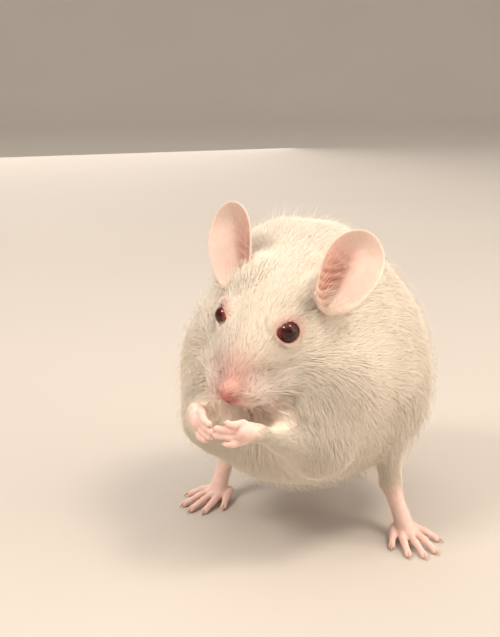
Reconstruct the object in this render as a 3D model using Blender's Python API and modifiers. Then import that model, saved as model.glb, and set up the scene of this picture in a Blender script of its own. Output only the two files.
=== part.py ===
"""A white pet mouse at life size, up on its hind feet with its forepaws together below its mouth.

Lengths are millimetres until they reach Blender, which takes metres. The mouse faces -Y, its left
side is +X, and it stands on the floor at z = 0. Each sub-part is one closed solid that reaches the
tips of the coat, and neighbours keep a gap of 0.3 mm.
"""

import math

import bmesh
import bpy
from mathutils import Matrix, Vector

MM = 0.001
GAP = 0.3
SIDES = {"left": 1, "right": -1}

# The head turns about the tip of its nose: yaw, then pitch (nose down), then roll (left side down).
NOSE_TIP = (-1.2, -26.2, 30.5)
HEAD_YAW = -4.6
HEAD_PITCH = 33.6
HEAD_ROLL = 6.6

EYE_RADIUS = 1.75
EYE_PLACE = (5.55, 12.4, 3.9)  # the left eye's centre, from the nose tip along the head's own axes
# Each ear's root along the head's axes, then how it stands to the mouse's own axes. Lean is outwards
# from upright, opening how far it turns out from straight ahead, rake backwards; tip and notch are
# how far it reaches above and below its root.
EARS = {
    "left": {
        "root": (10.2, 21.1, 5.1),
        "lean": 29.1,
        "opening": 31.1,
        "rake": 17.4,
        "width": 10.1,
        "tip": 10.6,
        "notch": 4.0,
        "cup": 3.5,
    },
    "right": {
        "root": (-7.1, 21.1, 5.3),
        "lean": 19.7,
        "opening": 7.0,
        "rake": 12.7,
        "width": 9.5,
        "tip": 11.3,
        "notch": 4.4,
        "cup": 2.3,
    },
}
EAR_THICKNESS = 0.8

# Haunches, barrel, chest, belly and nape of a plump, hunched mouse: centre, radii, pitch.
BODY_FORMS = (
    ((-0.6, 6.0, 27.6), (19.6, 20.5, 21.6), 0),
    ((-1.1, -8.5, 29.5), (18.2, 12.8, 17.6), 0),
    ((-0.6, -1.5, 22.3), (17.0, 18.5, 12.9), 0),
    ((-2.5, 2.5, 39.8), (16.0, 14.5, 14.8), 0),
    ((-1.4, -6.5, 37.5), (12.8, 11.5, 10.8), 0),
    ((-0.6, 14.5, 20.5), (12.5, 12.5, 11.0), 0),
)
# Skull, brow, cheeks, muzzle, whisker pads, jowls, nose, chin and the ears' mounds, on the head's axes.
HEAD_FORMS = (
    ((0.0, 19.0, -0.4), (10.4, 12.0, 9.0), 0),
    ((0.0, 11.5, 1.2), (6.7, 8.4, 5.2), 14),
    ((5.2, 16.5, -3.2), (5.6, 7.6, 5.6), 0),
    ((-5.2, 16.5, -3.2), (5.6, 7.6, 5.6), 0),
    ((0.0, 6.6, -0.9), (4.3, 7.0, 3.5), 12),
    ((2.1, 4.7, -2.0), (2.8, 4.0, 2.4), 0),
    ((-2.1, 4.7, -2.0), (2.8, 4.0, 2.4), 0),
    ((3.6, 9.5, -3.3), (3.0, 5.5, 3.0), 0),
    ((-3.6, 9.5, -3.3), (3.0, 5.5, 3.0), 0),
    ((0.0, 1.3, -0.4), (1.7, 1.6, 1.4), 0),
    ((0.0, 8.0, -4.6), (3.2, 5.2, 2.3), 0),
    ((7.6, 21.9, 2.6), (4.2, 3.2, 4.3), 0),
    ((-5.0, 21.9, 2.8), (4.2, 3.2, 4.3), 0),
)

BODY_VOXEL = 1.7
BODY_DETAIL = 0.144  # the share of the melted faces that is kept
HEAD_VOXEL = 1.0
HEAD_DETAIL = 0.22

# Joints of the limbs, for each side.
SHOULDER = {"left": (11.4, -11.4, 25.5), "right": (-12.4, -11.4, 26.5)}
ELBOW = {"left": (9.3, -15.0, 20.0), "right": (-10.9, -14.8, 21.0)}
WRIST = {"left": (3.9, -24.9, 25.4), "right": (-7.3, -24.3, 26.6)}
# Four fingers lie in a row: the first and the last knuckle, then the first and the last tip.
KNUCKLES = {
    "left": ((2.3, -26.4, 27.0), (2.5, -26.3, 24.2)),
    "right": ((-5.2, -26.2, 27.3), (-6.2, -25.6, 24.0)),
}
FINGERTIPS = {
    "left": ((0.7, -28.2, 27.3), (0.2, -28.0, 23.8)),
    "right": ((-2.6, -28.2, 26.6), (-3.8, -27.6, 23.6)),
}
MIDDLE_REACH = {"left": (-1.6, -0.35, 0.1), "right": (0.7, -0.2, -0.2)}  # of the two middle tips
FINGER_RADII = (0.62, 0.62, 0.58, 0.45)
HIP = {"left": (10.6, 7.0, 24.0), "right": (-11.8, 6.0, 24.0)}
ANKLE = {"left": (14.6, 3.4, 9.0), "right": (-17.0, 2.0, 9.2)}
BALL = {"left": (18.9, 1.0, 1.7), "right": (-17.9, -1.0, 1.7)}
TOE_OUT = {"left": 44.0, "right": 8.0}
# Each toe: place across the ball, how far ahead it starts, its length, and how far it fans out.
TOES = (
    (-1.9, -0.9, 4.4, -26),
    (-1.2, 0.2, 6.6, -9),
    (0.0, 0.5, 7.2, 2),
    (1.25, 0.2, 6.6, 13),
    (1.9, -1.2, 4.8, 40),
)
TOE_RADIUS = 0.62
CLAW_LENGTH = 1.2
FLOOR_TRIM = 0.12  # how deep the rounded undersides are cut flat

# The tail's middle line and its radius, down from the rump and along the floor in a loose curve.
TAIL = (
    (-0.6, 20.5, 17.5, 2.7),
    (-1.0, 28.5, 9.0, 2.45),
    (-1.5, 36.0, 3.0, 2.2),
    (-3.0, 45.5, 1.82, 1.95),
    (-6.5, 55.5, 1.6, 1.75),
    (-11.0, 65.0, 1.35, 1.5),
    (-16.0, 74.5, 1.1, 1.25),
    (-20.5, 83.5, 0.85, 1.0),
    (-22.5, 93.0, 0.6, 0.75),
)
TAIL_STEPS = 40
TAIL_LENGTHS = ("tail_root", "tail_middle", "tail_end", "tail_tip")

FUR = ("fur", (0.93, 0.86, 0.77), 0.9)
PINK_SKIN = ("pink_skin", (0.80, 0.47, 0.42), 0.55)
EAR_SKIN = ("ear_skin", (0.85, 0.62, 0.54), 0.6)
RUBY_EYE = ("ruby_eye", (0.16, 0.02, 0.03), 0.08)


def clear_scene():
    for obj in list(bpy.data.objects):
        bpy.data.objects.remove(obj, do_unlink=True)


def new_collection(name):
    collection = bpy.data.collections.new(name)
    bpy.context.scene.collection.children.link(collection)
    return collection


def material(kind):
    name, colour, roughness = kind
    found = bpy.data.materials.get(name)
    if found:
        return found
    made = bpy.data.materials.new(name)
    made.use_nodes = True
    shader = made.node_tree.nodes["Principled BSDF"]
    shader.inputs["Base Color"].default_value = (*colour, 1.0)
    shader.inputs["Roughness"].default_value = roughness
    shader.inputs["Metallic"].default_value = 0.0
    return made


def head_matrix():
    """Head axes (x left, y back, z up, origin at the nose tip) to the mouse's axes, in mm."""
    turn = Matrix.Rotation(math.radians(HEAD_YAW), 4, "Z")
    turn @= Matrix.Rotation(math.radians(HEAD_PITCH), 4, "X")
    turn @= Matrix.Rotation(math.radians(HEAD_ROLL), 4, "Y")
    return Matrix.Translation(NOSE_TIP) @ turn


def in_metres(matrix):
    return Matrix.Scale(MM, 4) @ matrix


def add_part(name, mesh_or_curve, kind):
    obj = bpy.data.objects.new(name, mesh_or_curve)
    obj.data.materials.append(material(kind))
    PARTS.objects.link(obj)
    obj.parent = STAND
    return obj


def add_cutter(name, mesh):
    obj = bpy.data.objects.new(name, mesh)
    CUTTERS.objects.link(obj)
    obj.parent = STAND
    obj.hide_render = True
    obj.display_type = "WIRE"
    return obj


def forms_mesh(name, forms, place=Matrix.Identity(4), segments=32):
    """Ellipsoids, each (centre, radii, pitch in degrees), in one mesh."""
    bm = bmesh.new()
    for centre, radii, pitch in forms:
        shape = Matrix.Translation(centre) @ Matrix.Rotation(math.radians(pitch), 4, "X")
        shape @= Matrix.Diagonal((*radii, 1.0))
        bmesh.ops.create_uvsphere(
            bm,
            u_segments=segments,
            v_segments=segments // 2,
            radius=1.0,
            matrix=in_metres(place @ shape),
        )
    mesh = bpy.data.meshes.new(name)
    bm.to_mesh(mesh)
    bm.free()
    return mesh


def melt(obj, voxel, passes, detail):
    """Runs overlapping forms together into one skin and rounds the creases between them."""
    remesh = obj.modifiers.new("melt", "REMESH")
    remesh.mode = "VOXEL"
    remesh.voxel_size = voxel * MM
    remesh.use_smooth_shade = True
    smooth = obj.modifiers.new("round", "SMOOTH")
    smooth.factor = 0.5
    smooth.iterations = passes
    thin = obj.modifiers.new("thin", "DECIMATE")
    thin.ratio = detail
    return obj


def copy_as_cutter(obj, name):
    """The same shape, grown by the gap, for cutting its room out of a neighbour."""
    cutter = add_cutter(name, obj.data)
    for modifier in obj.modifiers:
        copied = cutter.modifiers.new(modifier.name, modifier.type)
        for prop in modifier.bl_rna.properties:
            if not prop.is_readonly:
                setattr(copied, prop.identifier, getattr(modifier, prop.identifier))
    grow = cutter.modifiers.new("grow", "DISPLACE")
    grow.strength = GAP * MM
    grow.mid_level = 0.0
    return cutter


def cut(obj, cutter, operation="DIFFERENCE", solver="EXACT"):
    boolean = obj.modifiers.new(f"{operation.lower()}_{cutter.name}", "BOOLEAN")
    boolean.operation = operation
    boolean.object = cutter
    boolean.solver = solver


def half_space(name, point, normal, size=200.0):
    """A big box that fills everything on the side that the normal points to."""
    turn = Vector(normal).to_track_quat("Z", "Y").to_matrix().to_4x4()
    shape = Matrix.Translation(point) @ turn @ Matrix.Translation((0.0, 0.0, size / 2))
    bm = bmesh.new()
    bmesh.ops.create_cube(bm, size=size, matrix=in_metres(shape))
    mesh = bpy.data.meshes.new(name)
    bm.to_mesh(mesh)
    bm.free()
    return add_cutter(name, mesh)


def tube_mesh(name, points, radii, resolution=2):
    """A round tube through the points, with filled caps, as a closed mesh."""
    curve = bpy.data.curves.new(name, "CURVE")
    curve.dimensions = "3D"
    curve.bevel_depth = MM
    curve.bevel_resolution = resolution
    curve.use_fill_caps = True
    spline = curve.splines.new("POLY")
    spline.points.add(len(points) - 1)
    for spot, point, radius in zip(spline.points, points, radii):
        spot.co = (*(Vector(point) * MM), 1.0)
        spot.radius = radius
    holder = bpy.data.objects.new(name + "_curve", curve)
    CUTTERS.objects.link(holder)
    graph = bpy.context.evaluated_depsgraph_get()
    mesh = bpy.data.meshes.new_from_object(holder.evaluated_get(graph))
    bpy.data.objects.remove(holder, do_unlink=True)
    bm = bmesh.new()
    bm.from_mesh(mesh)
    bmesh.ops.remove_doubles(bm, verts=bm.verts, dist=1e-6)
    bmesh.ops.recalc_face_normals(bm, faces=bm.faces)
    bm.to_mesh(mesh)
    bm.free()
    return mesh


def spline_points(knots, count):
    """Evenly numbered points on a Catmull-Rom curve through the knots; each knot is a tuple."""
    ends = [knots[0], *knots, knots[-1]]
    made = []
    for step in range(count):
        at = step / (count - 1) * (len(knots) - 1)
        i = min(int(at), len(knots) - 2)
        t = at - i
        a, b, c, d = (Vector(ends[i + k]) for k in range(4))
        bend = 2 * a - 5 * b + 4 * c - d
        twist = 3 * b - 3 * c + d - a
        made.append(0.5 * (2 * b + (c - a) * t + bend * t**2 + twist * t**3))
    return made


def union_all(base, pieces, prefix):
    """Joins small pieces to the base. Their many near-level faces need the MANIFOLD solver."""
    for i, mesh in enumerate(pieces):
        cut(base, add_cutter(f"{prefix}_piece_{i}", mesh), "UNION", "MANIFOLD")
    return base


def make_head():
    head = add_part("head", forms_mesh("head", HEAD_FORMS, head_matrix()), FUR)
    return melt(head, HEAD_VOXEL, 3, HEAD_DETAIL)


def make_eye(side):
    x, y, z = EYE_PLACE
    centre = (SIDES[side] * x, y, z)
    ball = ((centre, (EYE_RADIUS,) * 3, 0),)
    name = f"eye_{side}"
    return add_part(name, forms_mesh(name, ball, head_matrix(), segments=16), RUBY_EYE)


def ear_matrix(side):
    """Ear axes: x across towards the outer edge, y behind the cup, z up to the tip."""
    sign, ear = SIDES[side], EARS[side]
    turn = Matrix.Rotation(math.radians(sign * ear["opening"]), 4, "Z")
    turn @= Matrix.Rotation(math.radians(-ear["rake"]), 4, "X")
    turn @= Matrix.Rotation(math.radians(sign * ear["lean"]), 4, "Y")
    root = head_matrix() @ Vector(ear["root"])
    return Matrix.Translation(root) @ turn @ Matrix.Diagonal((sign, 1.0, 1.0, 1.0))


def make_ear(side):
    """A dish: a square grid rounded, most at the top, drawn in at its root and bent into a cup."""
    ear = EARS[side]
    bm = bmesh.new()
    bmesh.ops.create_grid(bm, x_segments=8, y_segments=8, size=1.0)
    place = in_metres(ear_matrix(side))
    for vert in bm.verts:
        s, t, _ = vert.co
        ease = 0.5 if t > 0 else 0.5 * (1 + 0.35 * t)
        u = s * math.sqrt(1 - t * t * ease)
        v = t * math.sqrt(1 - s * s * ease)
        low = (1 - v) / 2
        across = ear["width"] / 2 * u * (1 - 0.3 * low**1.6)
        forward = ear["cup"] * u * u * (0.55 + 1.1 * low) + 0.8 * v * v
        up = (ear["tip"] + ear["notch"]) * (v + 1) / 2 - ear["notch"]
        vert.co = place @ Vector((across, -forward, up))
    if SIDES[side] < 0:
        bmesh.ops.reverse_faces(bm, faces=bm.faces)
    name = f"ear_{side}"
    mesh = bpy.data.meshes.new(name)
    bm.to_mesh(mesh)
    bm.free()
    made = add_part(name, mesh, EAR_SKIN)
    wall = made.modifiers.new("wall", "SOLIDIFY")
    wall.thickness = EAR_THICKNESS * MM
    wall.offset = 0.0
    return made


def between(a, b, part):
    return Vector(a).lerp(Vector(b), part)


def make_arm(side):
    shoulder, elbow, wrist = SHOULDER[side], ELBOW[side], WRIST[side]
    name = f"upper_arm_{side}"
    middle = between(shoulder, elbow, 0.45)
    upper = forms_mesh(name, ((middle, (3.5, 4.2, 6.0), -18),), segments=14)
    upper = add_part(name, upper, FUR)
    points = (elbow, between(elbow, wrist, 0.3), between(elbow, wrist, 0.7), wrist)
    name = f"forearm_{side}"
    fore = add_part(name, tube_mesh(name, points, (2.6, 2.5, 1.9, 1.35)), FUR)
    return upper, fore


def make_hand(side):
    """A palm with four fingers side by side, curled round to the tips."""
    wrist, knuckles, tips = WRIST[side], KNUCKLES[side], FINGERTIPS[side]
    middle = between(*knuckles, 0.5)
    name = f"hand_{side}"
    palm = (wrist, between(wrist, middle, 0.6), middle)
    hand = add_part(name, tube_mesh(name, palm, (1.2, 1.9, 1.6)), PINK_SKIN)
    room = copy_as_cutter(hand, f"{name}_room")
    fingers = []
    for i in range(4):
        root = between(*knuckles, i / 3)
        tip = between(*tips, i / 3)
        if i in (1, 2):
            tip += Vector(MIDDLE_REACH[side])
        bend = between(root, tip, 0.5) + Vector((0.0, -0.45, -0.1))
        path = (between(wrist, root, 0.55), root, bend, tip)
        fingers.append(tube_mesh(f"{name}_finger", path, FINGER_RADII, 1))
    union_all(hand, fingers, name)
    return room


def make_leg(side):
    hip, ankle = HIP[side], ANKLE[side]
    name = f"thigh_{side}"
    thigh = add_part(name, forms_mesh(name, ((hip, (8.6, 11.4, 12.2), 12),), segments=16), FUR)
    name = f"shank_{side}"
    knee = (ankle[0] - SIDES[side] * 1.6, ankle[1] - 0.6, 20.0)
    points = (knee, between(knee, ankle, 0.35), between(knee, ankle, 0.7), ankle)
    shank = add_part(name, tube_mesh(name, points, (4.6, 3.9, 2.7, 2.05), 3), FUR)
    return thigh, shank


def make_foot(side):
    """A steep metatarsus on the ball of the foot, five toes flat on the floor, and their claws."""
    sign = SIDES[side]
    ankle, ball = Vector(ANKLE[side]), Vector(BALL[side])
    turn = math.radians(TOE_OUT[side]) * sign
    ahead = Vector((math.sin(turn), -math.cos(turn), 0.0))
    across = Vector((ahead.y, -ahead.x, 0.0)) * -sign  # towards the outer toe
    name = f"foot_{side}"
    metatarsus = (ankle, between(ankle, ball, 0.5), ball)
    foot = add_part(name, tube_mesh(name, metatarsus, (1.75, 1.65, 1.85)), PINK_SKIN)
    room = copy_as_cutter(foot, f"{name}_room")
    pieces = []
    for offset, start, length, fan in TOES:
        way = ahead * math.cos(math.radians(fan)) + across * math.sin(math.radians(fan))
        root = ball + across * offset * 0.75 + ahead * (start - 0.8)
        joint = ball + across * offset + ahead * start + way * length * 0.45
        tip = joint + way * length * 0.5
        claw = tip + way * CLAW_LENGTH
        root.z, joint.z, tip.z, claw.z = 1.5, 1.25, TOE_RADIUS - FLOOR_TRIM, 0.35
        radii = (0.95, TOE_RADIUS * 1.15, TOE_RADIUS)
        pieces.append(tube_mesh(f"{name}_toe", (root, joint, tip), radii, 1))
        nail = (between(joint, tip, 0.7), claw)
        pieces.append(tube_mesh(f"{name}_claw", nail, (0.42, 0.27), 1))
    pad = ((ball - Vector((0.0, 0.0, 0.55)), (2.3, 1.9, 1.35), 0),)
    pieces.append(forms_mesh(f"{name}_pad", pad, segments=10))
    union_all(foot, pieces, name)
    cut(foot, FLOOR)
    return room


def make_tail():
    """The tail in lengths, each cut short of the next."""
    points = spline_points(TAIL, TAIL_STEPS + 1)
    run = TAIL_STEPS // len(TAIL_LENGTHS)
    made, rooms = [], []
    for i, name in enumerate(TAIL_LENGTHS):
        stretch = points[i * run : (i + 1) * run + 1]
        centres = [point.to_3d() for point in stretch]
        radii = [point.w for point in stretch]
        tail = add_part(name, tube_mesh(name, centres, radii), PINK_SKIN)
        rooms.append(copy_as_cutter(tail, f"{name}_room"))
        made.append(tail)
    for tail, room in zip(made, rooms[1:]):
        cut(tail, room)
    for tail in made:
        cut(tail, FLOOR)
    return rooms[0]


def main():
    head = make_head()
    eyes = [make_eye(side) for side in SIDES]
    ears = [make_ear(side) for side in SIDES]
    arms = [make_arm(side) for side in SIDES]
    legs = [make_leg(side) for side in SIDES]
    hand_rooms = [make_hand(side) for side in SIDES]
    foot_rooms = [make_foot(side) for side in SIDES]
    tail_room = make_tail()

    body = forms_mesh("body", BODY_FORMS)
    trunk = melt(add_part("trunk", body, FUR), BODY_VOXEL, 4, BODY_DETAIL)
    neck = melt(add_part("neck", body.copy(), FUR), BODY_VOXEL, 4, BODY_DETAIL)
    body_room = copy_as_cutter(trunk, "body_room")

    # The nape and throat part from the trunk on a slanting plane behind the cheeks.
    point, normal = Vector((-1.0, -10.5, 37.5)), Vector((0.0, -0.62, 0.78)).normalized()
    cut(trunk, half_space("above_shoulders", point - normal * GAP / 2, normal))
    cut(neck, half_space("below_neck", point + normal * GAP / 2, -normal))

    head_room = copy_as_cutter(head, "head_room")
    cut(neck, head_room)
    cut(trunk, head_room)
    for eye in eyes:
        cut(head, copy_as_cutter(eye, f"{eye.name}_room"))
    for ear in ears:
        cut(ear, head_room)
        cut(ear, body_room)
    for (upper, fore), hand_room in zip(arms, hand_rooms):
        upper_room = copy_as_cutter(upper, f"{upper.name}_room")
        fore_room = copy_as_cutter(fore, f"{fore.name}_room")
        cut(fore, upper_room)
        cut(fore, hand_room)
        for obj in (trunk, neck):
            cut(obj, upper_room)
            cut(obj, fore_room)
        cut(upper, head_room)
    for (thigh, shank), foot_room in zip(legs, foot_rooms):
        thigh_room = copy_as_cutter(thigh, f"{thigh.name}_room")
        shank_room = copy_as_cutter(shank, f"{shank.name}_room")
        cut(shank, thigh_room)
        cut(shank, foot_room)
        cut(trunk, thigh_room)
        cut(trunk, shank_room)
    cut(trunk, tail_room)


def stand_on_origin():
    """Moves the whole mouse so that the middle of its box's base is the origin."""
    bpy.context.view_layer.update()
    graph = bpy.context.evaluated_depsgraph_get()
    corners = []
    for obj in PARTS.objects:
        if obj.type == "MESH":
            evaluated = obj.evaluated_get(graph)
            corners += [evaluated.matrix_world @ vert.co for vert in evaluated.data.vertices]
    for axis in (0, 1):
        values = [corner[axis] for corner in corners]
        STAND.location[axis] = -(min(values) + max(values)) / 2
    STAND.location.z = -min(corner.z for corner in corners)


clear_scene()
PARTS = new_collection("white_mouse")
CUTTERS = new_collection("cutters")
STAND = bpy.data.objects.new("stand_point", None)
PARTS.objects.link(STAND)
FLOOR = half_space("floor", (0.0, 0.0, 0.0), (0.0, 0.0, -1.0))
main()
stand_on_origin()
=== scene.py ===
"""A white pet mouse, sitting up with its hands at its mouth: a still, life-size museum model.

One skin stands for all the flesh, and thin tufts of hair, joined into a few meshes, lie over it.
Tables are in millimetres, in the stance the part was drawn in before it was centred on the floor;
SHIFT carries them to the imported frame, and meshes are written in metres.
"""

import math

import bpy
import numpy as np
import openvdb
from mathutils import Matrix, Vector


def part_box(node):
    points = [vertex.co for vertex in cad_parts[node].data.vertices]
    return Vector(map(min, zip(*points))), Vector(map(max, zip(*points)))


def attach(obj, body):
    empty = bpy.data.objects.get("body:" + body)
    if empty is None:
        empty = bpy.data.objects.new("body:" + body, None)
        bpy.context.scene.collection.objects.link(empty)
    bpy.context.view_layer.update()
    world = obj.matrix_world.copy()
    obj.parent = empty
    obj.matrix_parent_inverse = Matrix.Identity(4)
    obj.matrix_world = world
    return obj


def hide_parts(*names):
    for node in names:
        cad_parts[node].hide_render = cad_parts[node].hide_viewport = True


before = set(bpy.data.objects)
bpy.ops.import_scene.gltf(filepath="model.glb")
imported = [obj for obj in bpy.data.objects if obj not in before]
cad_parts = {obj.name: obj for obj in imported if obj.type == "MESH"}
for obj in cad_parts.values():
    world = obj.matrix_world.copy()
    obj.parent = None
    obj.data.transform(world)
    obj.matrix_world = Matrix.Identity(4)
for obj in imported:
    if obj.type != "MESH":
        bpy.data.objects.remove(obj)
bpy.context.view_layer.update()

MM = 0.001
SIDES = {"left": 1.0, "right": -1.0}
rng = np.random.default_rng(12)

# ---- the animal's measures

NOSE_TIP = np.array((-1.2, -26.2, 30.5))
HEAD_YAW, HEAD_PITCH, HEAD_ROLL = -4.6, 33.6, 6.6
EYE_RADIUS = 1.74
EYE_PLACE = {"left": (5.55, 12.4, 3.9), "right": (-5.55, 12.4, 3.9)}
# Each ear's root along the head's axes, then how it stands to the mouse's own axes: lean outwards, opening
# away from straight ahead, rake backwards. Tip and notch are its reach above and below the root, and cup is
# how far its sides bend forward.
EAR_MEASURES = ("root", "lean", "opening", "rake", "width", "tip", "notch", "cup")
EARS = {
    "left": dict(zip(EAR_MEASURES, ((10.2, 21.1, 5.1), 29.1, 31.1, 17.4, 10.1, 10.6, 4.0, 3.5))),
    "right": dict(zip(EAR_MEASURES, ((-7.1, 21.1, 5.3), 19.7, 7.0, 12.7, 9.5, 11.3, 4.4, 2.3))),
}
EAR_WALL = 0.34  # at the middle of the ear; it thins to its edge

BODY_COAT = 1.7  # how deep the coat lies over the skin
TRUNK_MIDDLE = (-0.6, 2.0, 27.0)
# Centre and radii, out to the tips of the coat.
BODY_FORMS = (
    ((-0.6, 6.0, 27.6), (19.6, 20.5, 21.6)),
    ((-1.1, -8.5, 29.5), (18.2, 12.8, 17.6)),
    ((-0.6, -1.5, 22.3), (17.0, 18.5, 12.9)),
    ((-2.5, 2.5, 39.8), (16.0, 14.5, 14.8)),
    ((-1.4, -6.5, 37.5), (12.8, 11.5, 10.8)),
    ((-0.6, 14.5, 20.5), (12.5, 12.5, 11.0)),
)
# On the head's own axes from the nose tip: left, back, up. Centre, radii of the flesh, pitch, how deep the
# coat lies over it, and how widely it melts into its neighbours.
HEAD_FORMS = (
    ((0.0, 19.0, -0.4), (9.3, 10.9, 7.9), 0.0, 1.1, 1.5),
    ((0.0, 11.5, 1.2), (6.0, 7.7, 4.4), 14.0, 0.75, 1.5),
    ((5.2, 16.5, -3.2), (4.6, 6.6, 4.6), 0.0, 1.0, 1.5),
    ((-5.2, 16.5, -3.2), (4.6, 6.6, 4.6), 0.0, 1.0, 1.5),
    ((0.0, 6.9, -0.7), (3.7, 6.5, 2.8), 12.0, 0.5, 1.2),
    ((2.2, 4.9, -2.1), (2.5, 3.8, 2.2), 0.0, 0.5, 0.8),
    ((-2.2, 4.9, -2.1), (2.5, 3.8, 2.2), 0.0, 0.5, 0.8),
    ((3.5, 9.4, -3.3), (2.6, 5.1, 2.6), 0.0, 0.7, 1.2),
    ((-3.5, 9.4, -3.3), (2.6, 5.1, 2.6), 0.0, 0.7, 1.2),
    ((0.0, 1.7, -0.45), (1.45, 1.7, 1.2), 0.0, 0.25, 0.8),
    ((0.0, 8.0, -4.0), (2.6, 4.7, 1.8), 0.0, 0.5, 1.0),
    ((7.4, 22.1, 2.4), (3.7, 2.9, 4.0), 0.0, 0.8, 1.8),
    ((-4.8, 22.1, 2.6), (3.7, 2.9, 4.0), 0.0, 0.8, 1.8),
)

SHOULDER = {"left": (11.4, -11.4, 25.5), "right": (-12.4, -11.4, 26.5)}
ELBOW = {"left": (9.3, -15.0, 20.0), "right": (-10.9, -14.8, 21.0)}
WRIST = {"left": (3.9, -24.9, 25.4), "right": (-7.3, -24.3, 26.6)}
# Four fingers lie in a row: the first and the last knuckle, then the first and the last tip.
KNUCKLES = {
    "left": ((2.3, -26.4, 27.0), (2.5, -26.3, 24.2)),
    "right": ((-5.2, -26.2, 27.3), (-6.2, -25.6, 24.0)),
}
FINGERTIPS = {
    "left": ((0.7, -28.2, 27.3), (0.2, -28.0, 23.8)),
    "right": ((-2.6, -28.2, 26.6), (-3.8, -27.6, 23.6)),
}
MIDDLE_REACH = {"left": (-1.6, -0.35, 0.1), "right": (0.7, -0.2, -0.2)}  # of the two middle tips
HIP = {"left": (10.6, 7.0, 24.0), "right": (-11.8, 6.0, 24.0)}
THIGH_RADII, THIGH_PITCH = (8.6, 11.4, 12.2), 12
ANKLE = {"left": (14.6, 3.4, 9.0), "right": (-17.0, 2.0, 9.2)}
BALL = {"left": (18.9, 1.0, 1.7), "right": (-17.9, -1.0, 1.7)}
TOE_OUT = {"left": 44.0, "right": 8.0}
# Each toe: place across the ball, how far ahead it starts, its length, and how far it fans out.
TOES = (
    (-1.9, -0.9, 4.4, -26.0),
    (-1.2, 0.2, 6.6, -9.0),
    (0.0, 0.5, 7.2, 2.0),
    (1.25, 0.2, 6.6, 13.0),
    (1.9, -1.2, 4.8, 40.0),
)
# Radii along a finger and along a toe: thick at each joint and padded at the tip.
FINGER_RADII = (0.6, 0.62, 0.66, 0.7, 0.62, 0.58, 0.64, 0.54, 0.5, 0.54)
TOE_RADII = (0.9, 0.8, 0.7, 0.62, 0.68, 0.58, 0.54, 0.56, 0.6)
# The tail's middle line and radius.
TAIL = (
    (-0.6, 20.5, 17.5, 2.7),
    (-1.0, 28.5, 9.0, 2.45),
    (-1.5, 36.0, 3.0, 2.2),
    (-3.0, 45.5, 1.82, 1.95),
    (-6.5, 55.5, 1.6, 1.75),
    (-11.0, 65.0, 1.35, 1.5),
    (-16.0, 74.5, 1.1, 1.25),
    (-20.5, 83.5, 0.85, 1.0),
    (-22.5, 93.0, 0.6, 0.75),
)


# ---- arithmetic


def turn(axis, degrees):
    """Rotation matrix about axis 0, 1 or 2."""
    c, s = math.cos(math.radians(degrees)), math.sin(math.radians(degrees))
    i, j = (axis + 1) % 3, (axis + 2) % 3
    matrix = np.eye(3)
    matrix[i, i] = matrix[j, j] = c
    matrix[i, j], matrix[j, i] = -s, s
    return matrix


def ramp(values, start, end):
    """Eases from 0 at start to 1 at end: 3 t^2 - 2 t^3."""
    t = np.clip((values - start) / (end - start), 0.0, 1.0)
    return t * t * (3.0 - 2.0 * t)


def fade(values, start, end):
    """Eases from 1 at start to 0 at end."""
    return 1.0 - ramp(values, start, end)


def mix(first, second, share):
    """The first value where share is 0 and the second where it is 1, for whole rows at once."""
    return first + (second - first) * np.asarray(share)[..., None]


def between(a, b, part):
    """The point at this part of the way from a to b."""
    return np.asarray(a, float) + (np.asarray(b, float) - np.asarray(a, float)) * part


def steps(a, b, *parts):
    return [between(a, b, part) for part in parts]


def lengths_of(vectors):
    return np.linalg.norm(vectors, axis=-1)


def unit(vectors):
    return vectors / np.maximum(np.linalg.norm(vectors, axis=-1, keepdims=True), 1e-9)


def along(vectors, others):
    """How far each vector reaches along the other: their dot product."""
    return np.einsum("...i,...i->...", vectors, others)


def flat_on(vectors, normals):
    """The vectors laid flat on the skin, at length 1."""
    return unit(vectors - along(vectors, normals)[:, None] * normals)


def drift(points, size, seed):
    """Smooth noise near -1 to 1: a quarter of the sum of nine sine waves, about size millimetres long, in set
    directions."""
    source = np.random.default_rng(seed)
    ways = unit(source.normal(size=(9, 3))) / source.uniform(0.7, 1.5, (9, 1))
    phases = source.uniform(0.0, 2.0 * math.pi, 9)
    return np.sin(points @ (ways.T * (2.0 * math.pi / size)) + phases).sum(-1) / 4.0


def smooth_path(knots, count):
    """Points evenly spread by knot along a Catmull-Rom curve through rows of numbers."""
    knots = np.asarray(knots, float)
    padded = np.vstack((2 * knots[0] - knots[1], knots, 2 * knots[-1] - knots[-2]))
    t = np.linspace(0.0, len(knots) - 1.0, count)
    first = np.minimum(t.astype(int), len(knots) - 2)
    f = (t - first)[:, None]
    a, b, c, d = (padded[first + k] for k in range(4))
    return 0.5 * (2 * b + (c - a) * f + (2 * a - 5 * b + 4 * c - d) * f**2 + (3 * b - a - 3 * c + d) * f**3)


def linear(colour):
    """An sRGB hex colour as linear red, green and blue."""
    values = np.array([int(colour[i : i + 2], 16) / 255.0 for i in (1, 3, 5)])
    return np.where(values <= 0.04045, values / 12.92, ((values + 0.055) / 1.055) ** 2.4)


def tinted(tone, *layers):
    """A tone mixed with one hex colour after another, each by its own share."""
    for colour, share in layers:
        tone = mix(tone, linear(colour), share)
    return tone


HEAD_TURN = turn(2, HEAD_YAW) @ turn(0, HEAD_PITCH) @ turn(1, HEAD_ROLL)


def from_head(points):
    return NOSE_TIP + np.asarray(points) @ HEAD_TURN.T


def to_head(points):
    return (points - NOSE_TIP) @ HEAD_TURN


def middle_of(node):
    low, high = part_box(node)
    return (np.array(low) + np.array(high)) / 2.0 / MM


SHIFT = middle_of("eye_left") - from_head(EYE_PLACE["left"])
EYES = {side: from_head(EYE_PLACE[side]) for side in SIDES}
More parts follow.
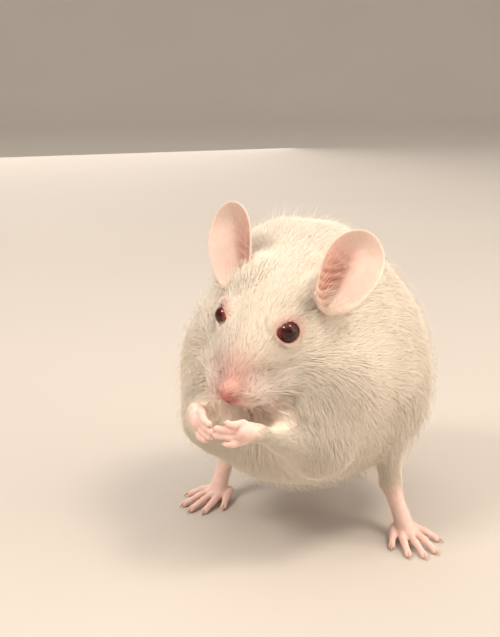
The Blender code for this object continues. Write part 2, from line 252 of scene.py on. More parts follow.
# The way each eye looks, on the head's own axes.
EYE_LOOK = {"left": (0.79, -0.53, 0.31), "right": (-0.74, -0.60, 0.31)}
EYE_OPENING = {"left": 61.0, "right": 69.0}  # degrees from the middle of the eye to its lids
EYE_AXIS = {side: unit(HEAD_TURN @ EYE_LOOK[side]) for side in SIDES}


# ---- meshes


def mesh_piece(name, material, points, faces, tone=None, facing=None):
    """A smooth-shaded object from points in millimetres and an array of faces with one number of corners.
    tone is a colour for each point, and facing a normal for each corner of each face."""
    mesh = bpy.data.meshes.new(name)
    sides = faces.shape[1]
    mesh.vertices.add(len(points))
    mesh.vertices.foreach_set("co", ((points + SHIFT) * MM).astype(np.float32).ravel())
    mesh.loops.add(faces.size)
    mesh.loops.foreach_set("vertex_index", faces.astype(np.int32).ravel())
    mesh.polygons.add(len(faces))
    mesh.polygons.foreach_set("loop_start", np.arange(0, faces.size, sides, dtype=np.int32))
    mesh.polygons.foreach_set("use_smooth", np.ones(len(faces), bool))
    mesh.update(calc_edges=True)
    mesh.validate()
    if tone is not None:
        rows = np.ones((len(points), 4), np.float32)
        rows[:, :3] = tone
        layer = mesh.attributes.new("tone", "FLOAT_COLOR", "POINT")
        layer.data.foreach_set("color", rows.ravel())
    if facing is not None:
        layer = mesh.attributes.new("custom_normal", "FLOAT_VECTOR", "CORNER")
        layer.data.foreach_set("vector", facing.astype(np.float32).ravel())
    mesh.materials.append(material)
    obj = bpy.data.objects.new(name, mesh)
    bpy.context.scene.collection.objects.link(obj)
    return obj


def grid_faces(rows, columns, wrap):
    """Quads of a grid of points, row after row; with wrap, the last column meets the first."""
    i, j = np.meshgrid(np.arange(rows - 1), np.arange(columns if wrap else columns - 1), indexing="ij")
    a, b = i * columns + j, i * columns + (j + 1) % columns
    return np.stack((a, b, b + columns, a + columns), -1).reshape(-1, 4)


def halves(quads):
    """Each quad as two triangles."""
    return np.concatenate((quads[:, (0, 1, 2)], quads[:, (0, 2, 3)]))


def outward(points, faces):
    """The triangles, all turned round if their signed volume is below zero."""
    a, b, c = (points[faces[:, k]] for k in range(3))
    return faces if along(a, np.cross(b, c)).sum() > 0 else faces[:, ::-1]


def capped(rings, first, last):
    """Rings of points, row after row, closed by a point at each end. Returns all the points and triangles."""
    rows, columns = rings.shape[:2]
    count, step = rows * columns, np.arange(columns)
    after = (step + 1) % columns
    start = np.stack((step, np.full(columns, count), after), -1)
    end = np.stack((step, after, np.full(columns, count + 1)), -1) + (count - columns, count - columns, 0)
    faces = np.concatenate((halves(grid_faces(rows, columns, True)), start, end))
    points = np.vstack((rings.reshape(-1, 3), first, last))
    return points, outward(points, faces)


def tube(path, radii, sides):
    """A closed tube: rings of the given radii, square to the path, with each end half a radius beyond it."""
    path = np.asarray(path, float)
    way = unit(np.gradient(path, axis=0))
    across = unit(np.cross(way, (0.05, 0.1, 1.0)))
    up = np.cross(across, way)
    angle = np.linspace(0.0, 2.0 * math.pi, sides, endpoint=False)[None, :, None]
    ring = np.cos(angle) * across[:, None] + np.sin(angle) * up[:, None]
    rings = path[:, None] + ring * np.reshape(radii, (-1, 1, 1))
    return capped(rings, path[0] - way[0] * radii[0] * 0.5, path[-1] + way[-1] * radii[-1] * 0.5)


# ---- the flesh, as one field of distances


def graded_axis(*runs):
    """Grid lines along one axis: runs of (start, end, step), finest where the animal has most detail."""
    lines = [np.arange(start, end - step / 2, step) for start, end, step in runs]
    return np.concatenate(lines).astype(np.float32)


AXES = (
    graded_axis((-25.5, -13.0, 0.34), (-13.0, 10.5, 0.27), (10.5, 27.5, 0.34)),
    graded_axis((-31.0, -12.5, 0.25), (-12.5, -8.0, 0.36), (-8.0, 6.5, 0.34), (6.5, 31.0, 0.9)),
    graded_axis((-0.6, 2.4, 0.2), (2.4, 21.0, 0.75), (21.0, 43.0, 0.28), (43.0, 56.0, 0.75)),
)
FAR = 7.0  # the field's value where no form is near


def smooth_min(first, second, reach):
    """The lesser distance, rounded where the two lie within reach: less (reach - gap)^2 / (4 reach)."""
    h = np.maximum(reach - np.abs(first - second), 0.0)
    return np.minimum(first, second) - h * h * (0.25 / reach)


def window(low, high):
    """The part of the field inside a box, and its points."""
    cuts = tuple(slice(*np.searchsorted(axis, ends)) for axis, ends in zip(AXES, zip(low, high)))
    lines = [axis[cut] for axis, cut in zip(AXES, cuts)]
    return cuts, np.stack(np.meshgrid(*lines, indexing="ij"), -1)


def ellipsoid(field, centre, radii, turned, reach, sign=1):
    """Adds an ellipsoid, or with sign -1 takes it away. Its distance is k (k - 1) / m, where k is the
    length of the point over the radii and m its length over their squares."""
    centre, radii, turned = (np.asarray(a, np.float32) for a in (centre, radii, turned))
    extent = np.sqrt(((turned * radii) ** 2).sum(1)) + reach + 1.5
    cuts, points = window(centre - extent, centre + extent)
    local = (points - centre) @ turned
    k = np.sqrt(((local / radii) ** 2).sum(-1))
    m = np.sqrt(((local / radii**2) ** 2).sum(-1))
    distance = k * (k - 1.0) / np.maximum(m, 1e-6)
    field[cuts] = sign * smooth_min(sign * field[cuts], distance, reach)


def limb(field, path, radii, reach, sign=1):
    """Adds a tube, or takes it away: the least distance to its lengths, each a cone with round ends."""
    path, radii = np.asarray(path, np.float32), np.asarray(radii, np.float32)
    margin = radii.max() + reach + 1.0
    cuts, points = window(path.min(0) - margin, path.max(0) + margin)
    best = np.full(points.shape[:3], FAR, np.float32)
    for a, b, thick, thin in zip(path[:-1], path[1:], radii[:-1], radii[1:]):
        way = b - a
        part = np.clip(((points - a) @ way) / (way @ way), 0.0, 1.0)
        gap = lengths_of(points - a - part[..., None] * way)
        best = np.minimum(best, gap - thick - (thin - thick) * part)
    field[cuts] = sign * smooth_min(sign * field[cuts], best, reach)


def finger_paths(side):
    """Start in the palm, knuckle, bend and tip of each of the four fingers, side by side and curled round."""
    paths = []
    for i in range(4):
        knuckle = between(*KNUCKLES[side], i / 3)
        tip = between(*FINGERTIPS[side], i / 3)
        if i in (1, 2):
            tip = tip + MIDDLE_REACH[side]
        bend = between(knuckle, tip, 0.5) + (0.0, -0.45, -0.1)
        paths.append((between(WRIST[side], knuckle, 0.55), knuckle, bend, tip))
    return paths


def toe_paths(side):
    """Root, joint, tip and claw tip of each of the five toes, flat on the floor."""
    sign = SIDES[side]
    ball, out = np.array(BALL[side]), math.radians(TOE_OUT[side]) * sign
    ahead = np.array((math.sin(out), -math.cos(out), 0.0))
    across = np.array((ahead[1], -ahead[0], 0.0)) * -sign
    paths = []
    for offset, start, length, fan in TOES:
        way = ahead * math.cos(math.radians(fan)) + across * math.sin(math.radians(fan))
        root = ball + across * offset * 0.75 + ahead * (start - 0.8)
        joint = ball + across * offset + ahead * start + way * length * 0.45
        tip = joint + way * length * 0.5
        claw = tip + way * 1.2
        root[2], joint[2], tip[2], claw[2] = 1.5, 1.2, 0.55, 0.3
        paths.append((root, joint, tip, claw))
    return paths


def shank_top(side):
    return np.array((ANKLE[side][0] - SIDES[side] * 1.6, ANKLE[side][1] - 0.6, 20.0))


def flesh_field():
    """Distances to the bare body, less than 0 inside it."""
    shape = tuple(len(axis) for axis in AXES)
    body, head = (np.full(shape, FAR, np.float32) for _ in range(2))
    for centre, radii in BODY_FORMS:
        ellipsoid(body, centre, np.subtract(radii, BODY_COAT), np.eye(3), 3.5)
    for centre, radii, pitch, _, melt in HEAD_FORMS:
        ellipsoid(head, from_head(centre), radii, HEAD_TURN @ turn(0, pitch), melt)
    for side in SIDES:
        # The brow rises to the lids all round the eye.
        ellipsoid(head, EYES[side] - EYE_AXIS[side] * 1.15, (2.35, 2.35, 2.35), np.eye(3), 1.6)
    field = smooth_min(body, head, 3.0)
    for side in SIDES:
        ellipsoid(field, HIP[side], np.subtract(THIGH_RADII, BODY_COAT), turn(0, THIGH_PITCH), 2.5)
        shank = smooth_path(steps(shank_top(side), ANKLE[side], 0.0, 0.35, 0.7, 1.0), 7)
        limb(field, shank, smooth_path(((2.9,), (2.5,), (1.9,), (1.65,)), 7)[:, 0], 1.5)
        middle = between(SHOULDER[side], ELBOW[side], 0.45)
        ellipsoid(field, middle, (1.8, 2.4, 4.2), turn(0, -18), 3.5)
        elbow, wrist = ELBOW[side], WRIST[side]
        # Loose skin wraps the arm down to the elbow, so only the end of the forearm stands free.
        limb(field, steps(elbow, wrist, 0.0, 0.35, 0.6), (1.5, 1.6, 1.4), 6.0)
        limb(field, steps(elbow, wrist, 0.5, 0.75, 1.0), (1.45, 1.3, 1.15), 1.2)
    hands_and_feet(field)
    face(field)
    # Nothing of the flesh reaches below the floor.
    return np.maximum(field, 0.02 - AXES[2])


def hands_and_feet(field):
    """Palms, fingers, heels, toes and pads, each lightly joined so that the gaps stay open."""
    for side in SIDES:
        middle = between(*KNUCKLES[side], 0.5)
        limb(field, steps(WRIST[side], middle, 0.0, 0.6, 0.95), (1.2, 1.6, 1.5), 0.8)
        for path in finger_paths(side):
            limb(field, smooth_path(path, 10), FINGER_RADII, 0.08)
        ankle, ball = ANKLE[side], BALL[side]
        heel = smooth_path((ankle, between(ankle, ball, 0.5), ball), 5)
        limb(field, heel, (1.65, 1.5, 1.4, 1.5, 1.65), 0.7)
        ellipsoid(field, np.subtract(ball, (0.0, 0.0, 0.55)), (2.2, 1.8, 1.3), np.eye(3), 0.5)
        for root, joint, tip, _ in toe_paths(side):
            limb(field, smooth_path((root, joint, tip), 9), TOE_RADII, 0.25)


FOLD_GAP = 1.1  # from one fold between the whiskers to the next


def face(field):
    """Sockets, lids, nostrils, the mouth, the folds between the rows of whiskers, and the cleft lip."""
    for side, sign in SIDES.items():
        centre, axis = EYES[side].astype(np.float32), EYE_AXIS[side].astype(np.float32)
        cuts, points = window(centre - 3.6, centre + 3.6)
        away = points - centre
        far = lengths_of(away)
        # The lids are a shell round the ball, open about its axis and drawn out to a corner at each end.
        front = unit(HEAD_TURN @ (0.1 * sign, -1.0, 0.5))
        front = unit(front - axis * (front @ axis)).astype(np.float32)
        flat = away - (away @ axis)[..., None] * axis
        lean = along(unit(flat), front)
        opening = EYE_OPENING[side] + 19.0 * np.maximum(lean, 0.0) ** 8 + 8.0 * np.maximum(-lean, 0.0) ** 8
        angle = np.degrees(np.arccos(np.clip((away @ axis) / np.maximum(far, 1e-6), -1.0, 1.0)))
        shell = np.abs(far - EYE_RADIUS - 0.08) - 0.1
        cone = (opening - angle) * (math.pi / 180.0 * EYE_RADIUS)
        lids = np.maximum(shell, cone)
        flesh = np.maximum(field[cuts], cone - 2.7 * np.maximum(far - EYE_RADIUS - 0.35, 0.0))
        flesh = smooth_min(flesh, lids, 0.35)
        field[cuts] = np.maximum(flesh, EYE_RADIUS + 0.015 - far)
        # A comma-shaped nostril, and the lip's line from the middle to the corner of the mouth.
        mirror = (sign, 1.0, 1.0)
        nostril = np.array(((0.72, 0.15, -0.25), (0.98, 0.7, -0.05), (1.1, 1.35, 0.1))) * mirror
        limb(field, from_head(nostril), (0.3, 0.26, 0.12), 0.2, -1)
        lip = np.array(((0.1, 2.6, -3.0), (1.5, 4.2, -3.9), (2.9, 6.6, -4.3), (3.5, 8.6, -4.2))) * mirror
        limb(field, smooth_path(from_head(lip), 7), (0.3, 0.3, 0.28, 0.26, 0.22, 0.16, 0.1), 0.3, -1)
    # Shallow folds between the rows of whiskers.
    middle = from_head((0.0, 6.0, -1.5)).astype(np.float32)
    cuts, points = window(middle - 8.0, middle + 8.0)
    local = (points - NOSE_TIP.astype(np.float32)) @ HEAD_TURN.astype(np.float32)
    reach = lengths_of((local - (0.0, 5.0, -1.6)) / (5.5, 4.5, 3.2))
    row = local[..., 2] + 0.18 * local[..., 1] + 0.25 * np.sin(1.3 * local[..., 1])
    fold = 0.1 * fade(reach, 0.5, 1.0) * ramp(local[..., 1], 0.8, 3.0)
    field[cuts] += fold * np.cos(row * (2.0 * math.pi / FOLD_GAP))
    cleft = from_head(((0.0, -0.1, -1.0), (0.0, 0.9, -1.9), (0.0, 2.2, -3.0)))
    limb(field, cleft, (0.14, 0.22, 0.26), 0.3, -1)


FIELD = flesh_field()
SLOPE = np.stack(np.gradient(FIELD, *AXES), -1)  # which points straight off the skin


def flesh_mesh():
    """The field's zero surface, with its points carried from grid numbers to millimetres."""
    grid = openvdb.FloatGrid(FAR)
    grid.copyFromArray(FIELD)
    points, _, quads = grid.convertToPolygons(isovalue=0.0, adaptivity=0.0)
    lines = [np.interp(points[:, i], np.arange(len(AXES[i])), AXES[i]) for i in range(3)]
    return np.stack(lines, -1), quads.astype(np.int64)


def off_skin(points):
    """Height over the skin and the way straight off it, weighed from the eight grid points round a place."""
    low, part = [], []
    for axis, values in zip(AXES, np.asarray(points, np.float32).T):
        at = np.clip(np.searchsorted(axis, values) - 1, 0, len(axis) - 2)
        low.append(at)
        part.append(np.clip((values - axis[at]) / (axis[at + 1] - axis[at]), 0.0, 1.0))
    height, way = 0.0, 0.0
    for corner in np.ndindex(2, 2, 2):
        share = np.prod([p if c else 1.0 - p for c, p in zip(corner, part)], axis=0)
        at = tuple(place + c for place, c in zip(low, corner))
        height = height + share * FIELD[at]
        way = way + share[:, None] * SLOPE[at]
    return height, unit(way)


# ---- ears and tail


def ear_place(side):
    """The turn from the ear's own axes (across, forward, up) to the mouse's, and the place of its root."""
    sign, ear = SIDES[side], EARS[side]
    stand = turn(2, sign * ear["opening"]) @ turn(0, -ear["rake"]) @ turn(1, sign * ear["lean"])
    return stand, from_head(ear["root"])


def ear_taper(v):
    """The ear's width at height v over its greatest, which falls to 0.7 at the root."""
    return 1 - 0.3 * np.clip((1 - v) / 2, 0, 1) ** 1.6


def ear_relief(u, v):
    """Height over the plain dish, across u and up v: the outer half stands forward of the inner hollow along
    a crest, wavy creases cross the hollow one above the other, and two folds close it above."""
    low = fade(v, 0.1, 0.7)
    step = 0.45 * ramp(u, -0.3, 0.12) * low + 0.12 * np.exp(-(((u - 0.1) / 0.14) ** 2)) * low
    hollow = -0.35 * np.exp(-(((u + 0.45) / 0.35) ** 2) - ((v + 0.35) / 0.6) ** 2)
    place = ramp(u, -1.0, -0.8) * fade(u, -0.25, 0.0) * ramp(v, -1.0, -0.8) * fade(v, -0.2, 0.1)
    wave = 2.0 * math.pi * (v * 5.2 - 1.1 * u) + 1.2 * np.sin(6.0 * u + 3.0 * v)
    creases = 0.19 * place * (np.sin(wave) + 0.35 * np.sin(2.1 * wave + 1.0))
    folds = sum(
        height
        * np.exp(-(((v - middle - 0.5 * (u + 0.35) ** 2) / 0.08) ** 2))
        * ramp(u, -0.85, -0.5)
        * fade(u, -0.05, 0.15)
        for height, middle in ((0.16, 0.12), (0.12, 0.34))
    )
    return step + hollow + creases + folds + 0.06 * np.sin(5.0 * u + 2.0 * v) * ramp(u, 0.1, 0.5)


def ear_mesh(side, count=50):
    """A square grid rounded, most at the top, drawn in at its root and bent into a cup, then given two faces
    whose gap closes at the rim. Returns points, triangles and colours."""
    sign, ear = SIDES[side], EARS[side]
    line = np.sin(np.linspace(-math.pi / 2, math.pi / 2, count))
    s, t = np.meshgrid(line, line, indexing="ij")
    ease = 0.5 * (1.0 + 0.2 * np.minimum(t, 0.0))
    u, v = s * np.sqrt(1.0 - t * t * ease), t * np.sqrt(1.0 - s * s * ease)
    low = (1 - v) / 2
    across = ear["width"] / 2 * u * ear_taper(v)
    forward = ear["cup"] * u * u * (0.55 + 1.1 * low) + 0.8 * v * v
    up = (ear["tip"] + ear["notch"]) * (v + 1) / 2 - ear["notch"]
    plain = np.stack((across * sign, -forward, up), -1)
    facing = unit(np.cross(np.gradient(plain, axis=0), np.gradient(plain, axis=1))) * sign
    rim = np.maximum(np.abs(s), np.abs(t)) ** 2
    middle = plain + facing * (ear_relief(u, v) * (1.0 - rim**6))[..., None]
    facing = unit(np.cross(np.gradient(middle, axis=0), np.gradient(middle, axis=1))) * sign
    wall = EAR_WALL / 2 * np.sqrt(1.0 - rim**12) * (1.0 + 1.6 * ramp(-v, 0.4, 1.0))
    matrix, root = ear_place(side)
    sheets = (middle + facing * wall[..., None] * k for k in (1.0, -1.0))
    front, back = (root + sheet.reshape(-1, 3) @ matrix.T for sheet in sheets)
    quads = grid_faces(count, count, False)
    inside = np.zeros((count, count), bool)
    inside[1:-1, 1:-1] = True
    number = np.arange(count * count)
    number[inside.ravel()] = count * count + np.arange(inside.sum())
    # Each quad at a corner is halved through the corner, so that no triangle lies all along the rim.
    corners = (0, count - 1, count * (count - 1), count * count - 1)
    quads = np.where(np.isin(quads[:, (1, 3)], corners).any(1)[:, None], np.roll(quads, -1, 1), quads)
    faces = np.concatenate((halves(quads), halves(number[quads])[:, ::-1]))
    points = np.vstack((front, back[inside.ravel()]))
    tone = ear_tone(u, v)
    behind = np.broadcast_to(linear("#e6d5ca"), (inside.sum(), 3))
    return points, outward(points, faces), np.vstack((tone.reshape(-1, 3), behind))


def ear_tone(u, v):
    """Deep pink in the hollow, partly the ear's own pink and partly painted shade in the recess, pale over
    the outer half, beige where the thin top lets light through, cream at the foot, and a light rim."""
    hollow = np.exp(-(((u + 0.45) / 0.42) ** 2) - ((v + 0.4) / 0.55) ** 2)
    return tinted(
        linear("#d2b2a6"),
        ("#e6d0c5", ramp(u, -0.15, 0.2)),
        # Partly painted shade: the deeper pink in the hollow lies over the ear's own pink there.
        ("#c1887c", hollow * fade(u, -0.15, 0.1)),
        ("#cfc0b4", 0.7 * ramp(v, 0.3, 0.8)),
        ("#f1e0d0", 0.6 * ramp(-v, 0.6, 0.95)),
        ("#f4e6d8", 0.6 * ramp(u * u + v * v, 0.88, 1.0)),
    )


SCALE_RING = 0.55  # length of one ring of the tail's scales


def tail_mesh():
    """A tube along the tail whose radius shrinks by 3% over each ring of scales, with the square of the way
    along it, and starts again at the next."""
    rows = smooth_path(TAIL, 400)
    path, radii = rows[:, :3], rows[:, 3] - 0.05
    run = np.concatenate(([0.0], np.cumsum(lengths_of(np.diff(path, axis=0)))))
    radii = radii * (1.0 + 0.03 * (1.0 - ((run / SCALE_RING) % 1.0) ** 2))
    points, faces = tube(path, radii, 16)
    points[:, 2] = np.maximum(points[:, 2], 0.03)
    return points, faces, tinted(linear("#e6bfb3"), ("#ecd0c6", ramp(points[:, 1], 30.0, 60.0)))


def joined_skin(flesh, others, material):
    """The flesh with the ears and tail united to it, as one closed mesh."""
    skin = mesh_piece("skin", material, *flesh)
    spare = [mesh_piece("spare", material, *other) for other in others]
    for obj in spare:
        union = skin.modifiers.new("union", "BOOLEAN")
        union.operation = "UNION"
        union.solver = "MANIFOLD"
        union.object = obj
    graph = bpy.context.evaluated_depsgraph_get()
    mesh = bpy.data.meshes.new_from_object(skin.evaluated_get(graph))
    skin.modifiers.clear()
    skin.data = mesh
    mesh.name = "skin"
    for obj in spare:
        bpy.data.objects.remove(obj)
    return skin


# ---- markings and coat

CREAM = linear("#fbf1e2")
PINK = linear("#bd837b")
PALM = linear("#f3d8d0")


def gap_to(points, centre, radii, turned):
    """Distance to an ellipsoid, by the same formula as the flesh."""
    local = (points - centre) @ turned
    k = lengths_of(local / radii)
    m = lengths_of(local / np.square(radii))
    return k * (k - 1.0) / np.maximum(m, 1e-6)


def gap_to_limb(points, a, b):
    """Distance to the line between two joints."""
    a, way = np.asarray(a, float), np.subtract(b, a)
    part = np.clip(((points - a) @ way) / (way @ way), 0.0, 1.0)
    return lengths_of(points - a - part[:, None] * way)


def near(points, centre, start, end):
    """1 within start of a place, easing to 0 at end."""
    return fade(lengths_of(points - centre), start, end)


def hand_share(points, side):
    """1 on a hand, easing to 0 along the wrist."""
    wrist = np.array(WRIST[side])
    knuckles, tips = between(*KNUCKLES[side], 0.5), between(*FINGERTIPS[side], 0.5)
    gap = np.minimum(gap_to_limb(points, wrist, knuckles), gap_to_limb(points, knuckles, tips))
    past = along(points - wrist, unit(knuckles - ELBOW[side]))
    return fade(gap, 2.3, 2.8) * ramp(past, -0.8, 1.8)


def bareness(points):
    """1 on bare skin, which is the nose, lids, hands and feet, easing to 0 under the coat."""
    local = to_head(points)
    bare = fade(lengths_of((local - (0.0, -0.1, -0.6)) / (1.1, 0.8, 1.0)), 0.8, 1.3)
    for side in SIDES:
        bare = np.maximum(bare, near(points, EYES[side], EYE_RADIUS + 0.1, EYE_RADIUS + 0.25))
        bare = np.maximum(bare, hand_share(points, side))
    return np.maximum(bare, fade(points[:, 2], 6.5, 15.0))


def coat_tone(points):
    """The colours that skin and coat share: cream, pinker towards the nose, the lids and the ears, pale on
    the whisker pads, and browner under the chin, which is mostly painted shade below the muzzle with a little
    stain."""
    local = to_head(points)
    bridge = lengths_of((local - (0.0, 0.5, -0.8)) / (1.0, 1.5, 1.25))
    chin = lengths_of((local - (1.5, 8.0, -7.0)) / (1.3, 1.5, 1.0))
    tone = tinted(
        np.broadcast_to(CREAM, points.shape),
        ("#f0d0c6", 0.85 * fade(bridge, 1.5, 8.0)),
        ("#ecc1b6", 0.9 * fade(bridge, 1.4, 5.2)),
        ("#faece1", 0.7 * pad_share(points)),
        # Painted shade, with a little stain: browner under the chin, where the muzzle shades it.
        ("#b9a590", 0.5 * fade(chin, 1.0, 4.5)),
    )
    for side in SIDES:
        lid = near(points, EYES[side], EYE_RADIUS + 0.1, EYE_RADIUS + 0.9)
        foot = near(points, from_head(EARS[side]["root"]), 1.5, 4.0)
        tone = tinted(tone, ("#d9ada2", 0.7 * lid), ("#efcdb9", 0.5 * foot))
    return tone


def skin_tone(points):
    """Pink where it is bare, deepest at the nose, dusky at the lids' edges, partly their own colour and
    partly painted shade where they meet the ball, with the coat's colours, painted chin shade included, under
    the coat.
    """
    tone = mix(coat_tone(points), PALM, ramp(bareness(points), 0.0, 1.0))
    local = to_head(points)
    tone = mix(tone, PINK, fade(lengths_of(local - (0.0, 0.2, -0.6)), 1.1, 2.9))
    for side in SIDES:
        # Partly painted shade, partly the lids' own dusky skin: a dark ring where the lids meet the ball.
        tone = tinted(tone, ("#8f635a", near(points, EYES[side], EYE_RADIUS + 0.12, EYE_RADIUS + 0.36)))
    return tone * (1.0 + 0.05 * drift(points, 1.3, 5))[:, None]


COAT_FORMS = (
    [(np.array(c), np.subtract(r, BODY_COAT), np.eye(3), BODY_COAT) for c, r in BODY_FORMS]
    + [(from_head(c), np.array(r), HEAD_TURN @ turn(0, p), d) for c, r, p, d, _ in HEAD_FORMS]
    + [
        (np.array(HIP[side]), np.subtract(THIGH_RADII, BODY_COAT), turn(0, THIGH_PITCH), BODY_COAT)
        for side in SIDES
    ]
)


def coat_depth(points):
    """How deep the coat lies: the forms' own depths, each weighed by how near the point is to that form."""
    gaps = np.stack([gap_to(points, c, r, m) for c, r, m, _ in COAT_FORMS])
    depths = np.array([d for *_, d in COAT_FORMS])[:, None]
    for side in SIDES:
        for start, end, radius, depth in (
            (shank_top(side), ANKLE[side], 2.0, 0.7),
            (between(ELBOW[side], WRIST[side], 0.5), WRIST[side], 1.4, 0.45),
        ):
            gaps = np.vstack((gaps, gap_to_limb(points, start, end)[None] - radius))
            depths = np.vstack((depths, ((depth,),)))
    weights = np.exp(-(gaps - gaps.min(0)) / 0.7)
    return (weights * depths).sum(0) / weights.sum(0)


def head_share(points):
    """1 on the head, easing to 0 over 3 mm and down the neck."""
    gaps = [gap_to(points, c, r, m) for c, r, m, _ in COAT_FORMS[len(BODY_FORMS) : -2]]
    return fade(np.min(gaps, 0), 0.4, 3.0) * fade(to_head(points)[:, 1], 20.0, 27.0)


def coat_lie(points, normals):
    """Which way the hair points: on the head, back from the nose and down the cheeks; on the body, over the
    back from neck to tail and down the sides and front; on a shank, down it; and away from each eye."""
    local = to_head(points)
    side = np.clip(local[:, 0] / 7.0, -1.0, 1.0)
    drop = -0.15 - 0.5 * ramp(-local[:, 2], 0.0, 7.0)
    on_head = np.stack((0.3 * side, np.ones(len(points)), drop), -1) @ HEAD_TURN.T
    arm = points - TRUNK_MIDDLE
    length = np.maximum(np.hypot(arm[:, 1], arm[:, 2]), 1.0)
    over = ramp(arm[:, 2] + 0.5 * arm[:, 1], -10.0, 10.0)
    out = 0.10 * np.clip(arm[:, 0] / 5.0, -1.0, 1.0)
    on_body = np.stack((out, over * arm[:, 2] / length + 0.25, -over * arm[:, 1] / length - 0.65), -1)
    lie = mix(unit(on_body), unit(on_head), head_share(points))
    for name in SIDES:
        top, ankle = shank_top(name), ANKLE[name]
        share = fade(gap_to_limb(points, top, ankle), 3.0, 5.0)
        lie = mix(lie, unit(np.subtract(ankle, top)), share)
        away = points - EYES[name]
        away -= along(away, EYE_AXIS[name])[:, None] * EYE_AXIS[name]
        towards = np.maximum(-along(unit(away), unit(lie)), 0.0) * near(points, EYES[name], 2.4, 5.0)
        lie = lie + unit(away) * (1.6 * towards)[:, None]
    lie = unit(lie) + 0.14 * np.stack([drift(points, 8.0, k) for k in (1, 2, 3)], -1)
    return flat_on(lie, normals)


def vertex_normals(points, faces):
    """Each point's normal: the sum of its triangles' own, each weighed by its area."""
    a, b, c = (points[faces[:, k]] for k in range(3))
    square = np.cross(b - a, c - a)
    total = [np.bincount(faces.ravel(), np.repeat(square[:, k], 3), len(points)) for k in range(3)]
    return unit(np.stack(total, -1))


def scatter(points, faces, density):
    """Roots spread over triangles by density a square millimetre, with their normals."""
    a, b, c = (points[faces[:, k]] for k in range(3))
    area = lengths_of(np.cross(b - a, c - a)) / 2.0
    total = np.cumsum(area * density((a + b + c) / 3.0))
    count = int(total[-1])
    chosen = np.searchsorted(total, (np.arange(count) + rng.random(count)) * (total[-1] / count))
    s, t = np.sqrt(rng.random(count)), rng.random(count)
    shares = np.stack((1.0 - s, s * (1.0 - t), s * t), -1)[:, :, None]
    corners = faces[np.minimum(chosen, len(faces) - 1)]
    normals = vertex_normals(points, faces)
    return (points[corners] * shares).sum(1), unit((normals[corners] * shares).sum(1))


def unwrap(points, on_head):
    """Flattens the form by direction from its middle: distance from the page's centre is the angle from the
    nose on the head, or from the crown of the back on the body."""
    arm = unit(to_head(points) - (0.0, 13.0, -1.0)) if on_head else unit(points - TRUNK_MIDDLE)
    pole, first, second = (-arm[:, 1], arm[:, 0], arm[:, 2]) if on_head else (arm[:, 2], arm[:, 0], arm[:, 1])
    spread = np.arccos(np.clip(pole, -1.0, 1.0)) / np.maximum(np.hypot(first, second), 1e-6)
    flat = np.stack((first, second), -1) * spread[:, None]
    low, high = flat.min(0), flat.max(0)
    return 0.01 + 0.98 * (flat - low) / (high - low)


HAIR_SHAPE = 0.22  # how much of each hair's own roundness shows in the light
ROOT_DEPTH = 0.12  # how far under the skin a hair starts
FLATNESS = 0.7  # a hair's thickness over its width
PATCH = 0.003  # side of a tuft's own patch of the map


